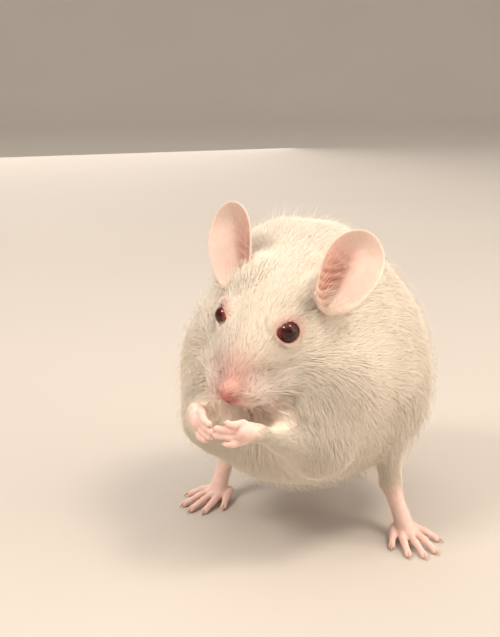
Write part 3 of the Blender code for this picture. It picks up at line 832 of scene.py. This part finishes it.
def tufts(name, material, on_head, rings, rows, follow=True):
    """Spindles with three sides, from rows of roots, normals, lies, lengths, rises, widths and tones. Along t
    from 0 to 1 a hair runs length * t along its lie and stands rise * (1 - (1 - t)^2) off the skin, whose
    curve it may follow, and sways to one side with the square of t. It is widest at the first of rings."""
    roots, normals, lies, lengths, rises, widths, tone = rows
    count, levels = len(roots), len(rings)
    side = np.cross(normals, lies)
    t = np.array((0.0, *rings, 1.0))[None, :, None]
    run = lengths[:, None, None] * t
    up = rises[:, None, None] * (1.0 - (1.0 - t) ** 2) - ROOT_DEPTH * (1.0 - t)
    sway = rng.normal(0.0, 0.06, count)[:, None, None]
    middle = roots[:, None] + lies[:, None] * run + normals[:, None] * up + side[:, None] * (run * t * sway)
    ways = np.repeat(normals[:, None], levels + 2, 1)
    if follow:
        for _ in range(2):
            height, way = off_skin(middle[:, 1:].reshape(-1, 3))
            short = np.clip(up[:, 1:] - height.reshape(count, -1, 1), -1.2, 1.2)
            ways[:, 1:] = way.reshape(count, -1, 3)
            middle[:, 1:] += ways[:, 1:] * short
    angle = np.radians((90.0, 210.0, 330.0))
    out = side[:, None] * np.cos(angle)[:, None] + normals[:, None] * (FLATNESS * np.sin(angle))[:, None]
    girth = np.interp(rings, (0.0, 0.5, 1.0), (1.0, 0.9, 0.4))[:, None, None]
    body = middle[:, 1:-1, None] + out[:, None] * (widths[:, None, None, None] / 2.0 * girth)
    points = np.concatenate((middle[:, :1], body.reshape(count, levels * 3, 3), middle[:, -1:]), 1)
    k = np.arange(3)
    after, last = (k + 1) % 3, 3 * levels - 2
    start = np.stack((np.zeros(3, int), 1 + after, 1 + k), -1)
    end = np.stack((last + k, last + after, np.full(3, last + 3)), -1)
    one = np.concatenate((start, halves(grid_faces(levels, 3, True) + 1), end))
    each = points.shape[1]
    faces = (outward(points[0], one)[None] + np.arange(count)[:, None, None] * each).reshape(-1, 3)
    patch = [(step / 2.0 - 0.5, ring - 0.5) for ring in rings for step in range(3)]
    patch = np.array([(0.0, -0.5), *patch, (0.0, 0.5)]) * PATCH
    places = (unwrap(roots, on_head)[:, None] + patch).reshape(-1, 2)
    shade = np.repeat(tone * rng.normal(1.0, 0.025, (count, 1)), each, axis=0)
    # Light falls on the coat as on one soft surface, so each hair faces mostly as the skin under it does.
    under = np.concatenate((ways[:, :1], np.repeat(ways[:, 1:-1], 3, 1), ways[:, -1:]), 1)
    own = np.concatenate((ways[:, :1], np.tile(out, (1, levels, 1)), ways[:, -1:]), 1)
    facing = unit(unit(own) * HAIR_SHAPE + under * (1.0 - HAIR_SHAPE)).reshape(-1, 3)[faces]
    # The underside, which shows where a hair points at the eye, takes its light from beyond the hair's tip.
    facing = facing.reshape(count, -1, 3, 3)
    underside = np.concatenate((k, np.tile(k, 2 * levels - 2), k)) == 1
    facing[:, underside] = unit(lies - 0.4 * normals)[:, None, None]
    piece = mesh_piece(name, material, points.reshape(-1, 3), faces, shade, facing)
    layer = piece.data.uv_layers.new(name="OFBake")
    layer.data.foreach_set("uv", places[faces.ravel()].astype(np.float32).ravel())
    return piece


def combed(points, normals, noise):
    """The coat's lie with a little disorder, flat on the skin."""
    return flat_on(coat_lie(points, normals) + rng.normal(0.0, noise, points.shape), normals)


CREASE_REACH = 3.0  # how far above a root other skin is looked for


def crowding(roots, normals):
    """How far a crease closes over each root: 0 on open skin, 1 where other skin lies close above it, and up
    to 0.8 under an ear."""
    height, _ = off_skin(roots + CREASE_REACH * normals)
    crowd = ramp(1.0 - height / CREASE_REACH, 0.04, 0.4)
    for side in SIDES:
        under_ear = from_head(EARS[side]["root"]) - (0.0, 0.0, 3.0)
        crowd = np.maximum(crowd, 0.8 * near(roots, under_ear, 4.0, 8.0))
    return crowd


def pad_share(points):
    """1 in the middle of each whisker pad, easing to 0 round it."""
    local = to_head(points)
    local[:, 0] = np.abs(local[:, 0])
    return fade(lengths_of(local - (3.0, 4.6, -3.2)), 2.8, 5.0)


def ear_foot(side):
    """Where the head's hair grows up over the front of an ear's foot."""
    stand, root = ear_place(side)
    ear = EARS[side]
    return root + stand @ (-0.25 * SIDES[side] * ear["width"], -1.5, -0.8 * ear["notch"])


CLEAR_CONE = 62.0  # degrees from the middle of an eye that no hair crosses


def clear_of_eyes(roots, lies, lengths):
    """Which hairs stay out of the cone in front of each eye, tried half way along and at the tip."""
    clear = np.ones(len(roots), bool)
    for side in SIDES:
        for part in (0.5, 1.0):
            away = roots + lies * (lengths * part)[:, None] - EYES[side]
            aside = along(unit(away), EYE_AXIS[side]) < math.cos(math.radians(CLEAR_CONE))
            clear &= aside | (lengths_of(away) > EYE_RADIUS + 1.0)
    return clear


MOST_IN_A_PIECE = 195000  # triangles
TUFT_TRIANGLES = 6


def coat(points, faces, material):
    """Tufts over all the furred skin: long and soft on the body, short and fine on the face and limbs,
    ruffled on the whisker pads, long before the ears, and fewer and flatter in the creases."""

    def density(places):
        furred = 1.0 - bareness(places)
        shown = ramp(lengths_of(to_head(places)), 4.0, 13.0)
        furred = furred * (0.3 + 0.7 * np.maximum(shown, pad_share(places)))
        return np.where(furred > 0.02, 46.0 / (coat_depth(places) + 0.2) ** 0.9 * furred, 0.0)

    roots, normals = scatter(points, faces, density)
    count = len(roots)
    furred = 1.0 - bareness(roots)
    depth = coat_depth(roots) * (0.4 + 0.6 * furred)
    pad = pad_share(roots)
    lies = combed(roots, normals, (0.06 + 0.34 * pad)[:, None])
    eye_gap = np.min([lengths_of(roots - EYES[side]) for side in SIDES], 0) - EYE_RADIUS
    lengths = (0.5 + 2.0 * depth) * rng.uniform(0.75, 1.1, count) * (0.35 + 0.65 * ramp(eye_gap, 0.5, 3.0))
    lengths *= 1.0 + 0.8 * pad
    rises = depth * rng.uniform(0.7, 1.0, count) * (0.5 + 0.5 * ramp(eye_gap, 0.5, 2.5)) * (1.0 + 1.6 * pad)
    crowd = crowding(roots, normals)
    lengths, rises = lengths * (1.0 - 0.4 * crowd), rises * (1.0 - 0.75 * crowd)
    for side in SIDES:
        ear_front = near(roots, ear_foot(side), 2.2, 4.8)
        lengths, rises = lengths * (1.0 + 0.8 * ear_front), rises * (1.0 + 2.0 * ear_front)
    widths = (0.085 + 0.016 * depth) * rng.uniform(0.8, 1.25, count) * (1.0 + 0.4 * pad)
    clear = clear_of_eyes(roots, lies, lengths) & (rng.random(count) > 0.85 * ramp(crowd, 0.3, 1.0))
    rows = [row[clear] for row in (roots, normals, lies, lengths, rises, widths, coat_tone(roots))]
    roots = rows[0]
    on_head = head_share(roots) > 0.5
    # Each piece is a band: by the way back from the nose on the head, and round the trunk on the body.
    trunk = roots - TRUNK_MIDDLE
    pieces = []
    for group, wanted, place in (
        ("head", on_head, to_head(roots)[:, 1]),
        ("body", ~on_head, np.arctan2(trunk[:, 2], trunk[:, 1])),
    ):
        chosen = np.flatnonzero(wanted)
        chosen = chosen[np.argsort(place[chosen])]
        bands = math.ceil(len(chosen) * TUFT_TRIANGLES / MOST_IN_A_PIECE)
        for number, band in enumerate(np.array_split(chosen, bands), 1):
            values = [row[band] for row in rows]
            pieces.append(tufts(f"coat_{group}_{number}", material, group == "head", (0.42,), values))
    return pieces


def guard_hairs(points, faces, material):
    """Sparse long hairs that stand out of the coat, most of all over the back and flanks."""

    def density(places):
        return 1.3 * (1.0 - bareness(places)) * (coat_depth(places) / BODY_COAT) ** 1.5

    roots, normals = scatter(points, faces, density)
    count, depth = len(roots), coat_depth(roots)
    lengths = (1.2 + 2.6 * depth) * rng.uniform(0.75, 1.15, count)
    crowd = crowding(roots, normals)
    rises = depth * rng.uniform(1.1, 1.8, count) * (1.0 - 0.8 * crowd)
    widths = rng.uniform(0.045, 0.065, count) * (1.0 - 0.5 * crowd)
    lies = combed(roots, normals, 0.2)
    clear = clear_of_eyes(roots, lies, lengths) & (crowd < 0.5)
    rows = [row[clear] for row in (roots, normals, lies, lengths, rises, widths, coat_tone(roots) * 1.03)]
    return tufts("coat_guard_hairs", material, False, (0.2, 0.6), rows)


def down(points, faces, material):
    """The finest hair, which leaves the skin to show: on hands, feet and tail."""

    def on_limbs(places):
        bare = np.minimum(bareness(places) * 2.0, 1.0)
        return 6.0 * bare * (places[:, 2] > 1.2) * (to_head(places)[:, 1] > 1.4)

    tail_points, tail_faces, _ = tail_mesh()
    limbs = scatter(points, faces, on_limbs)
    tail = scatter(tail_points, tail_faces, lambda places: 4.0 * (places[:, 1] > 23.0))
    path = smooth_path(TAIL, 60)[:, :3]
    nearest = np.argmin(lengths_of(tail[0][:, None] - path), 1)
    roots, normals = (np.vstack(pair) for pair in zip(limbs, tail))
    lies = np.vstack((coat_lie(*limbs), unit(np.gradient(path, axis=0))[nearest]))
    lies = flat_on(lies + rng.normal(0.0, 0.12, lies.shape), normals)
    lengths = 0.8 * rng.uniform(0.6, 1.2, len(roots))
    rises = lengths * rng.uniform(0.2, 0.5, len(roots))
    widths = rng.uniform(0.03, 0.045, len(roots))
    rows = (roots, normals, lies, lengths, rises, widths, np.broadcast_to(CREAM, roots.shape))
    return tufts("coat_down", material, False, (0.35,), rows, False)


def ear_hair(side, material):
    """Fine hair on both faces of an ear, pointing from its root to its rim, longest over the inner hollow
    and the ear's foot."""
    points, faces, _ = ear_mesh(side, 30)
    stand, root = ear_place(side)
    sign, ear = SIDES[side], EARS[side]
    roots, normals = scatter(points, faces, lambda places: np.full(len(places), 8.0))
    local = (roots - root) @ stand
    v = 2.0 * (local[:, 2] + ear["notch"]) / (ear["tip"] + ear["notch"]) - 1.0
    u = sign * local[:, 0] / (ear["width"] / 2 * ear_taper(v))
    front = along(normals, stand @ (0.0, -1.0, 0.0)) > 0.0
    hollow = front * ramp(-u, 0.0, 0.35) * fade(v, -0.1, 0.4)
    start = root + stand @ (0.0, 0.0, -ear["notch"] - 1.0)
    across = stand @ (sign, 0.0, 0.0)
    lies = unit(roots - start) + across * (1.2 * hollow)[:, None] + rng.normal(0.0, 0.15, roots.shape)
    lies = flat_on(lies, normals)
    count = len(roots)
    foot = ramp(-v, 0.35, 0.9) * (1.0 - 0.65 * hollow)
    lengths = (0.8 + 1.0 * hollow + 1.3 * foot) * rng.uniform(0.7, 1.2, count)
    rises = lengths * rng.uniform(0.12, 0.35, count) + 0.35 * hollow + 0.2 * foot
    widths = rng.uniform(0.03, 0.045, count) + 0.015 * hollow + 0.05 * foot
    tone = mix(np.broadcast_to(linear("#f7e6d8"), roots.shape), CREAM, foot)
    keep = ~(front & (rng.random(count) < 0.7 * (1.0 - foot)))
    rows = [values[keep] for values in (roots, normals, lies, lengths, rises, widths, tone)]
    return tufts(f"ear_hair_{side}", material, True, (0.35,), rows, False)


# ---- eyes, claws and whiskers


def eye_mesh(side, rows=40, columns=64):
    """A ball by angle from its front and turn about its axis, its cornea standing 4% proud of it. The colour
    goes by the angle: nearly black in the middle, deep ruby round it, and redder and lighter at the lids, the
    lighter red being painted light that stands for light shining through the eye's edge."""
    axis = EYE_AXIS[side]
    across = unit(np.cross(axis, (0.0, 0.0, 1.0)))
    up = np.cross(across, axis)
    angle = np.linspace(0.0, math.pi, rows + 2)[1:-1]
    spin = np.linspace(0.0, 2.0 * math.pi, columns, endpoint=False)
    radius = EYE_RADIUS * (0.985 + 0.04 * np.exp(-((angle / 0.75) ** 2)))
    ring = np.cos(spin)[:, None] * across + np.sin(spin)[:, None] * up
    ahead, aside = np.cos(angle) * radius, np.sin(angle) * radius
    rings = axis * ahead[:, None, None] + ring * aside[:, None, None]
    points, faces = capped(rings, axis * radius[0], -axis * radius[-1])
    degrees = np.append(np.repeat(np.degrees(angle), columns), (0.0, 180.0))
    tone = tinted(
        linear("#2c090c"),
        ("#401012", ramp(degrees, 22.0, 42.0)),
        ("#5c1f20", ramp(degrees, 45.0, 72.0)),
        # Painted light: the lighter red at the lids stands for light shining through the edge of the eye.
        ("#a0504a", ramp(degrees, 56.0, 76.0)),
    )
    return points + EYES[side], faces, tone


def joined_tubes(name, parts, sides, material):
    """Many tubes as one mesh. Each part is a path, its radii, and its colours at root and tip."""
    points, faces, tones, count = [], [], [], 0
    for path, radii, root, tip in parts:
        some, triangles = tube(path, radii, sides)
        points.append(some)
        faces.append(triangles + count)
        tone = tinted(linear(root), (tip, np.linspace(0.0, 1.0, len(path))))
        tones.append(np.vstack((np.repeat(tone, sides, 0), tone[:1], tone[-1:])))
        count += len(some)
    return mesh_piece(name, material, np.vstack(points), np.vstack(faces), np.vstack(tones))


def claws(material):
    """A short curved spike on each finger and toe, its radius less by the 1.6th power of the way along it."""
    parts = []
    taper = 1.0 - np.linspace(0.0, 1.0, 8) ** 1.6
    for side in SIDES:
        for _, joint, tip, claw in toe_paths(side):
            start, crown = between(joint, tip, 0.85) + (0, 0, 0.2), between(tip, claw, 0.35) + (0, 0, 0.32)
            path = smooth_path((start, crown, claw - (0, 0, 0.16)), 8)
            parts.append((path, 0.3 * taper + 0.03, "#ecc6ba", "#b99a88"))
        for *_, knuckle, tip in finger_paths(side):
            way = unit(tip - knuckle)
            path = smooth_path((tip, tip + way * 0.5 + (0, 0, 0.05), tip + way * 0.85 - (0, 0, 0.12)), 8)
            parts.append((path, 0.17 * taper + 0.02, "#edc6ba", "#d9b8a6"))
    return joined_tubes("claws", parts, 10, material)


def whisker(root, way, length, bend, thick, thin):
    """A taper on the head's own axes that leaves its straight way by bend times the square of the way along
    it, with its radii at root and tip."""
    t = np.linspace(0.0, 1.0, 14)
    path = np.array(root) + unit(np.array(way)) * length * t[:, None] + np.outer(t * t, bend) * length
    return from_head(path), thick * (1.0 - t) + thin, "#f3e7dc", "#faf6f0"


def whiskers(material):
    """On each side four rows of six, longest at the back, which bend back and droop; seven short ones that
    hang under the pad; and two over the eye."""
    parts = []
    for sign in SIDES.values():
        for row in range(4):
            for column in range(6):
                root = (sign * (1.5 + 0.25 * column), 2.0 + 0.95 * column, -0.5 - 0.8 * row)
                wild = rng.normal(0.0, 0.16, 3)
                way = np.array((sign, 0.15 + 0.16 * column, 0.28 - 0.34 * row)) + wild
                length = (5.0 + 2.6 * column) * rng.uniform(0.85, 1.1) * (1.0 - 0.1 * row)
                parts.append(whisker(root, way, length, (0.0, 0.22, -0.16), 0.05, 0.012))
        for k in range(7):
            root = (sign * (1.5 + 0.3 * k), 3.2 + 0.75 * k, -3.9)
            way = np.array((sign * 0.45, 0.1 + 0.05 * k, -1.0)) + rng.normal(0.0, 0.2, 3)
            parts.append(whisker(root, way, 3.4, (-0.1 * sign, 0.3, 0.1), 0.04, 0.01))
        for k in range(2):
            root, way = (sign * 4.2, 13.0 + 0.9 * k, 6.0), (sign * 0.35, 0.5, 1.0 - 0.2 * k)
            parts.append(whisker(root, way, 5.5, (0.0, 0.3, 0.0), 0.035, 0.01))
    return joined_tubes("whiskers", parts, 5, material)


# ---- floor, light and camera

CAMERA_AT = np.array((77.3, -156.3, 83.0))
AZIMUTH, ELEVATION, FOCAL = 29.59, 14.76, 59.34
CAMERA_TURN = turn(2, AZIMUTH) @ turn(0, 90.0 - ELEVATION)
LIT_MIDDLE = np.array((-1.0, -12.0, 30.0))  # where every lamp aims
SENSOR = 36.0  # the side of the camera's sensor
RING_STEPS, SWEEP = 96, 0.4  # steps round the floor, and the radius of its curve in metres


def floor_bowl(material):
    """A round floor that sweeps up into a wall: an arc between the flat and the upright, turned about z."""
    arc = np.radians(np.linspace(0.0, 90.0, 24))
    radius = np.concatenate(([0.2, 0.5], 0.9 + SWEEP * np.sin(arc), [1.3]))
    height = np.concatenate(([0.0, 0.0], SWEEP * (1.0 - np.cos(arc)), [1.1]))
    angle = np.linspace(0.0, 2.0 * math.pi, RING_STEPS, endpoint=False)
    flat = radius[:, None, None] * np.stack((np.cos(angle), np.sin(angle)), -1)
    upright = np.broadcast_to(height[:, None, None], flat.shape[:2] + (1,))
    points = np.concatenate((flat, upright), -1).reshape(-1, 3)
    points = np.vstack((points, (0.0, 0.0, 0.0))) / MM - SHIFT
    step = np.arange(RING_STEPS)
    fan = np.stack((step, (step + 1) % RING_STEPS, np.full(RING_STEPS, len(points) - 1)), -1)
    bowl = mesh_piece("floor", material, points, grid_faces(len(radius), RING_STEPS, True))
    return bowl, mesh_piece("floor_middle", material, points, fan)


def lamp(name, direction, distance, width, height, watts, colour):
    """A soft box aimed at the mouse, from a direction on the camera's own axes: right, up, back."""
    way = CAMERA_TURN @ unit(np.array(direction))
    data = bpy.data.lights.new(name, "AREA")
    data.shape = "RECTANGLE"
    data.size, data.size_y = width, height
    data.energy = watts
    data.color = linear(colour)
    obj = bpy.data.objects.new(name, data)
    obj.location = (LIT_MIDDLE + SHIFT) * MM + way * distance
    obj.rotation_euler = Vector(way).to_track_quat("Z", "Y").to_euler()
    bpy.context.scene.collection.objects.link(obj)


def studio(floor_material):
    for piece in floor_bowl(floor_material):
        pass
    lamp("key_light", (0.41, 0.80, 0.44), 0.55, 0.16, 0.14, 1.3, "#ffeedb")
    lamp("side_light", (-0.56, 0.60, 0.57), 0.55, 0.16, 0.12, 1.45, "#fff0e2")
    lamp("wall_light", (0.93, 0.30, 0.25), 0.60, 0.60, 0.60, 2.5, "#ffefe0")
    lamp("back_light", (-0.30, 0.55, -0.78), 0.60, 0.50, 0.50, 1.1, "#fff4ea")
    lamp("soft_light", (-0.20, 0.85, 0.48), 0.60, 0.50, 0.50, 0.75, "#fff0e0")
    world = bpy.data.worlds.new("studio")
    world.use_nodes = True
    background = world.node_tree.nodes["Background"]
    background.inputs["Color"].default_value = (*linear("#f6efe9"), 1.0)
    background.inputs["Strength"].default_value = 0.86
    scene = bpy.context.scene
    scene.world = world
    scene.view_settings.view_transform = "Standard"
    camera = bpy.data.cameras.new("camera")
    camera.lens = FOCAL
    camera.sensor_width = camera.sensor_height = SENSOR
    camera.clip_start = 0.01
    obj = bpy.data.objects.new("camera", camera)
    obj.location = (CAMERA_AT + SHIFT) * MM
    obj.rotation_euler = (math.radians(90.0 - ELEVATION), 0.0, math.radians(AZIMUTH))
    scene.collection.objects.link(obj)
    scene.camera = obj


# ---- materials

MIX_A, MIX_B, MIX_RESULT = 6, 7, 2  # the colour sockets of a Mix node


def add_node(tree, kind, settings=(), links=()):
    """One shader node, by the rest of its type's name, with its inputs or properties set, and its inputs fed
    from other nodes' outputs."""
    node = tree.nodes.new("ShaderNode" + kind)
    for key, value in dict(settings).items():
        if isinstance(key, int) or key in node.inputs:
            node.inputs[key].default_value = value
        else:
            setattr(node, key, value)
    for key, output in dict(links).items():
        tree.links.new(output, node.inputs[key])
    return node


def new_material(name):
    """An empty material, its node tree, and a function that ends it with a Principled surface."""
    material = bpy.data.materials.new(name)
    material.use_nodes = True
    tree = material.node_tree
    tree.nodes.clear()

    def finish(settings, links):
        surface = add_node(tree, "BsdfPrincipled", settings, links)
        add_node(tree, "OutputMaterial", (), {"Surface": surface.outputs["BSDF"]})
        return material

    return tree, finish


def bare_skin():
    """Living skin: blood under a thin, faintly greasy surface, so it is pink, mottled and a little soft in
    the light, with fine creases."""
    tree, finish = new_material("living_skin")
    place = add_node(tree, "TexCoord").outputs["Object"]
    tone = add_node(tree, "Attribute", {"attribute_name": "tone"}).outputs["Color"]
    # Patches 1.4 mm wide, creases 0.25 mm apart and a grain of 0.4 mm.
    mottle = add_node(tree, "TexNoise", {"Scale": 700.0, "Detail": 3.0}, {"Vector": place})
    mottle = mottle.outputs["Fac"]
    crease_settings = {"Scale": 4000.0, "feature": "DISTANCE_TO_EDGE"}
    creases = add_node(tree, "TexVoronoi", crease_settings, {"Vector": place})
    grain = add_node(tree, "TexNoise", {"Scale": 2500.0, "Detail": 4.0}, {"Vector": place})
    reddening = {"data_type": "RGBA", "blend_type": "MULTIPLY", MIX_B: (0.94, 0.80, 0.77, 1.0)}
    redder = add_node(tree, "Mix", reddening, {0: mottle, MIX_A: tone})
    both = {0: creases.outputs["Distance"], 2: grain.outputs["Fac"]}
    height = add_node(tree, "Math", {"operation": "MULTIPLY_ADD", 1: 0.5}, both)
    relief = {"Strength": 0.35, "Distance": 0.00008}
    bump = add_node(tree, "Bump", relief, {"Height": height.outputs[0]})
    shine = add_node(tree, "MapRange", {"To Min": 0.42, "To Max": 0.62}, {"Value": mottle})
    blood = {"Subsurface Weight": 0.3, "Subsurface Radius": (1.0, 0.5, 0.4), "Subsurface Scale": 0.0005}
    return finish(
        {**blood, "IOR": 1.42},
        {
            "Base Color": redder.outputs[MIX_RESULT],
            "Normal": bump.outputs["Normal"],
            "Roughness": shine.outputs["Result"],
        },
    )


def toned_material(name, settings):
    """A surface with these settings, in the colours of the piece's own tone."""
    tree, finish = new_material(name)
    tone = add_node(tree, "Attribute", {"attribute_name": "tone"}).outputs["Color"]
    return finish(settings, {"Base Color": tone})


def hair():
    """Fine unpigmented hair: clear keratin full of air, so it is cream-white, matt and soft."""
    return toned_material("white_hair", {"Roughness": 0.8, "Specular IOR Level": 0.0})


def eye_surface():
    """The wet, clear front of an eye with no pigment: a mirror-smooth film over deep ruby."""
    return toned_material("wet_eye", {"Roughness": 0.05, "IOR": 1.45})


def keratin(name, roughness):
    """Claw or whisker: smooth horn, half clear, paler or browner towards its tip."""
    clear = {"IOR": 1.54, "Subsurface Weight": 0.2, "Subsurface Scale": 0.0004}
    return toned_material(name, {"Roughness": roughness, **clear})


def painted_board():
    """Matt paint on board, pale and a little uneven."""
    tree, finish = new_material("painted_board")
    place = add_node(tree, "TexCoord").outputs["Object"]
    uneven = add_node(tree, "TexNoise", {"Scale": 9.0, "Detail": 2.0}, {"Vector": place})
    paints = {"data_type": "RGBA", MIX_A: (*linear("#c3beb7"), 1.0), MIX_B: (*linear("#cac5be"), 1.0)}
    colour = add_node(tree, "Mix", paints, {0: uneven.outputs["Fac"]})
    return finish({"Roughness": 0.9, "Specular IOR Level": 0.2}, {"Base Color": colour.outputs[MIX_RESULT]})


# ---- the whole

points, quads = flesh_mesh()
triangles = halves(quads)
flesh = (points, triangles, skin_tone(points))
skin = joined_skin(flesh, [ear_mesh("left"), ear_mesh("right"), tail_mesh()], bare_skin())
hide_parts(*[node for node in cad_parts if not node.startswith("eye_")])
pieces = [skin]
fine = hair()
hairy = coat(points, triangles, fine)
hairy += [guard_hairs(points, triangles, fine), down(points, triangles, fine)]
for piece in hairy + [ear_hair(side, fine) for side in SIDES]:
    pieces.append(piece)
wet = eye_surface()
for side in SIDES:
    eye = mesh_piece(f"eyeball_{side}", wet, *eye_mesh(side))
    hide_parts(f"eye_{side}")
    pieces.append(eye)
pieces += [claws(keratin("claw_horn", 0.35)), whiskers(keratin("whisker_horn", 0.3))]
for piece in pieces:
    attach(piece, "root")
studio(painted_board())
